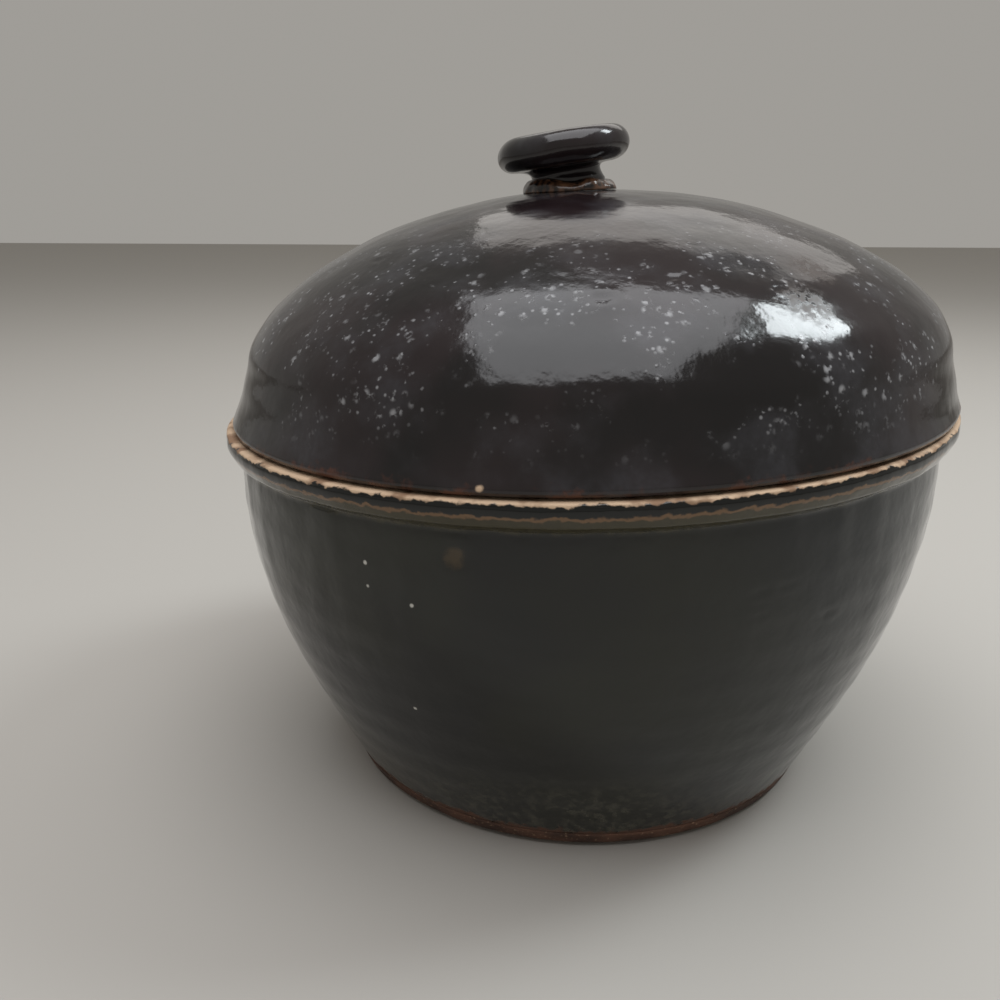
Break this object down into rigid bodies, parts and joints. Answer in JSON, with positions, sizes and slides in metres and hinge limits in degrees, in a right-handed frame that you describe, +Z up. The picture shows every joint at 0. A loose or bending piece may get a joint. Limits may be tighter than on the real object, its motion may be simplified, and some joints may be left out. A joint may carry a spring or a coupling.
{
  "type": "lidded jar",
  "caption": "Squat glazed stoneware jar on a turned foot, with a flanged mouth and a loose domed lid that lifts off by a small disc knob.",
  "frame": {"origin": "centre of the foot, on the surface that the jar stands on", "axes": "+Z up, -Y towards the front, +X to the right as seen from the front"},
  "size_m": [0.12, 0.12, 0.1058],
  "materials": {
    "bare_clay": "rough unglazed reddish stoneware",
    "jar_glaze": "glossy black glaze with an olive tint",
    "lid_glaze": "glossy brown-black glaze with pale speckles",
    "collar_glaze": "glossy brown glaze, thin on a ridge"
  },
  "bodies": {
    "jar": {"foot_ring": "bare_clay", "jar_body": "jar_glaze"},
    "lid_ring": {"lid_locating_ring": "bare_clay"},
    "lid": {"lid_dome": "lid_glaze", "knob_collar": "collar_glaze", "knob": "lid_glaze"}
  },
  "joints": [
    {"name": "lid_lift", "type": "slide", "parent": "jar", "child": "lid_ring", "axis": [-0.0377, 0, 0.9993], "range_m": [0, 0.1]},
    {"name": "lid_turn", "type": "hinge", "parent": "lid_ring", "child": "lid", "pos_m": [0.0004, 0, 0.06119], "axis": [-0.0377, 0, 0.9993], "continuous": true}
  ]
}
